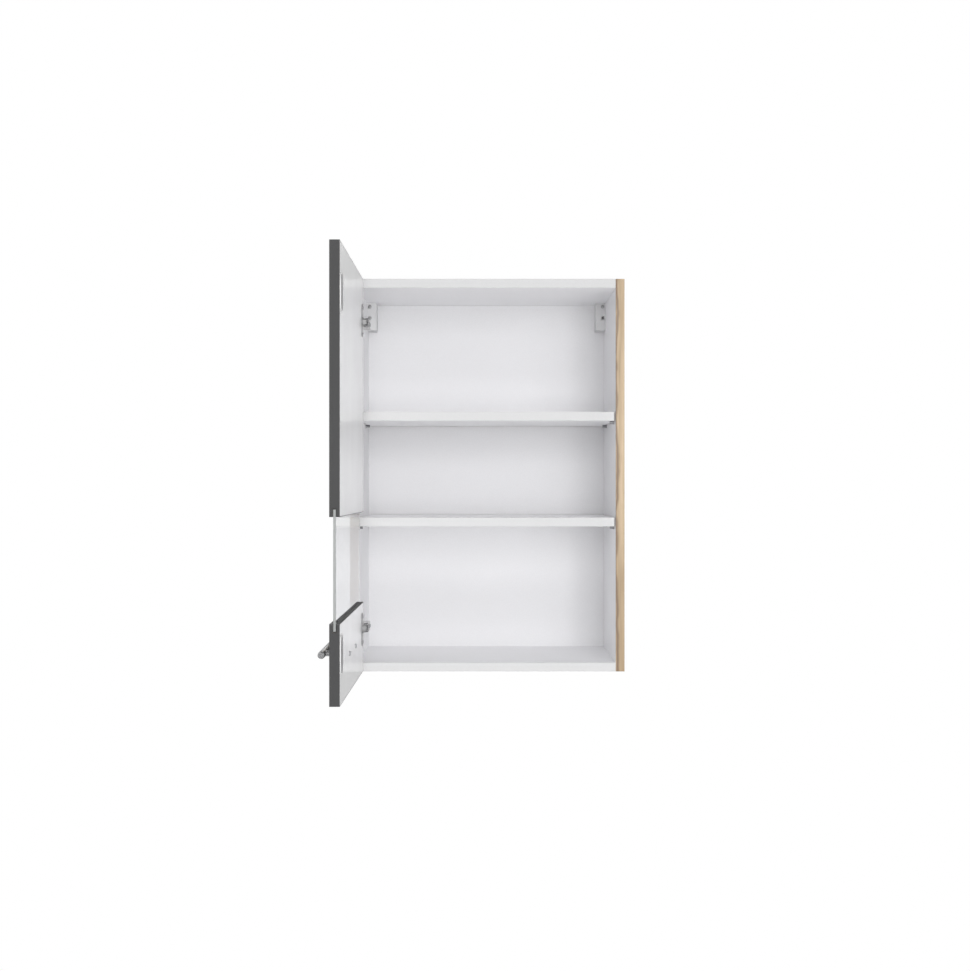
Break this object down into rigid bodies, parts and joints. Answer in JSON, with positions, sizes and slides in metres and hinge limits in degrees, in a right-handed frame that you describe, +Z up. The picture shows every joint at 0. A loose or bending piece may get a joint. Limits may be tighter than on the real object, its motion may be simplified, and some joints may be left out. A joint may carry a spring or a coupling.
{
  "type": "wall cabinet",
  "caption": "Hanging wall cabinet with oak-look sides, white inside with shelves, and a dark left-hung door with a glass strip and bar handle.",
  "frame": {"origin": "middle of the width, at the wall plane and the underside of the carcass", "axes": "+Z up, +Y into the wall, +X to the right seen from the front; rest pose has the door open at 90 degrees"},
  "size_m": [0.521, 0.8264, 0.71],
  "materials": {
    "oak_panel": "satin",
    "oak_edge": "satin",
    "white_board": "satin",
    "white_edge": "satin",
    "back_board": "satin",
    "door_board": "satin",
    "door_edge": "satin",
    "clear_glass": "polished",
    "glass_seal": "matte",
    "hinge_steel": "satin",
    "hinge_pins": "polished",
    "screw_steel": "satin",
    "shelf_pins": "satin",
    "cap_plastic": "satin",
    "white_plastic": "satin",
    "handle_metal": "satin",
    "zinc": "satin",
    "beech": "matte"
  },
  "bodies": {
    "carcass": {"side_panel_left": "oak_panel", "side_panel_right": "oak_panel", "top_panel": "white_board", "bottom_panel": "white_board", "back_panel": "back_board", "shelf_upper": "white_board", "shelf_lower": "white_board", "side_edge_band_left": "oak_edge", "side_edge_band_right": "oak_edge", "top_edge_band": "white_edge", "bottom_edge_band": "white_edge", "shelf_upper_edge_band": "white_edge", "shelf_lower_edge_band": "white_edge", "shelf_pins_upper": "shelf_pins", "shelf_pins_lower": "shelf_pins", "cam_locks": "zinc", "cam_bolts": "zinc", "wood_dowels": "beech", "cam_caps": "white_plastic", "hanger_body_left": "white_plastic", "hanger_body_right": "white_plastic", "hanger_hook_left": "zinc", "hanger_hook_right": "zinc", "hanger_height_screws": "screw_steel", "hanger_depth_screws": "screw_steel", "hanger_fixing_screws": "screw_steel", "hinge_plate_upper": "hinge_steel", "hinge_plate_lower": "hinge_steel", "hinge_plate_screws": "screw_steel", "hinge_arm_upper": "hinge_steel", "hinge_arm_lower": "hinge_steel", "hinge_arm_screws": "screw_steel", "hinge_arm_pins": "hinge_pins"},
    "door": {"door_panel_upper": "door_board", "door_panel_lower": "door_board", "door_glass": "clear_glass", "door_edge_band_upper": "door_edge", "door_edge_band_lower": "door_edge", "glass_seal_upper": "glass_seal", "glass_seal_lower": "glass_seal", "hinge_cup_upper": "hinge_steel", "hinge_cup_lower": "hinge_steel", "hinge_cup_screws": "screw_steel", "hinge_cup_pins": "hinge_pins", "cover_cap_upper": "cap_plastic", "cover_cap_lower": "cap_plastic", "handle_bar": "handle_metal", "handle_posts": "handle_metal", "handle_screws": "screw_steel"},
    "upper_inner_link": {"hinge_upper_inner_link": "hinge_steel"},
    "upper_outer_link": {"hinge_upper_outer_link": "hinge_steel"},
    "lower_inner_link": {"hinge_lower_inner_link": "hinge_steel"},
    "lower_outer_link": {"hinge_lower_outer_link": "hinge_steel"}
  },
  "joints": [
    {"name": "upper_inner_pivot", "type": "hinge", "parent": "carcass", "child": "upper_inner_link", "pos_m": [-0.2225, -0.3235, 0.631], "axis": [0, 0, 1], "range_deg": [-39.71, 2.3]},
    {"name": "door_swing", "type": "hinge", "parent": "upper_inner_link", "child": "door", "pos_m": [-0.228, -0.34038, 0.631], "axis": [0, 0, 1], "range_deg": [-7.2, 129.61]},
    {"name": "upper_outer_pivot", "type": "hinge", "parent": "carcass", "child": "upper_outer_link", "pos_m": [-0.217, -0.313, 0.631], "axis": [0, 0, 1], "range_deg": [-37.36, 2.17]},
    {"name": "lower_inner_pivot", "type": "hinge", "parent": "carcass", "child": "lower_inner_link", "pos_m": [-0.2225, -0.3235, 0.079], "axis": [0, 0, 1], "range_deg": [-39.71, 2.3]},
    {"name": "lower_outer_pivot", "type": "hinge", "parent": "carcass", "child": "lower_outer_link", "pos_m": [-0.217, -0.313, 0.079], "axis": [0, 0, 1], "range_deg": [-37.36, 2.17]}
  ],
  "couplings": [
    {"joint": "upper_inner_pivot", "follows": "door_swing", "ratio": -0.3056},
    {"joint": "lower_inner_pivot", "follows": "door_swing", "ratio": -0.3056},
    {"joint": "upper_outer_pivot", "follows": "door_swing", "ratio": -0.28748},
    {"joint": "lower_outer_pivot", "follows": "door_swing", "ratio": -0.28748}
  ]
}
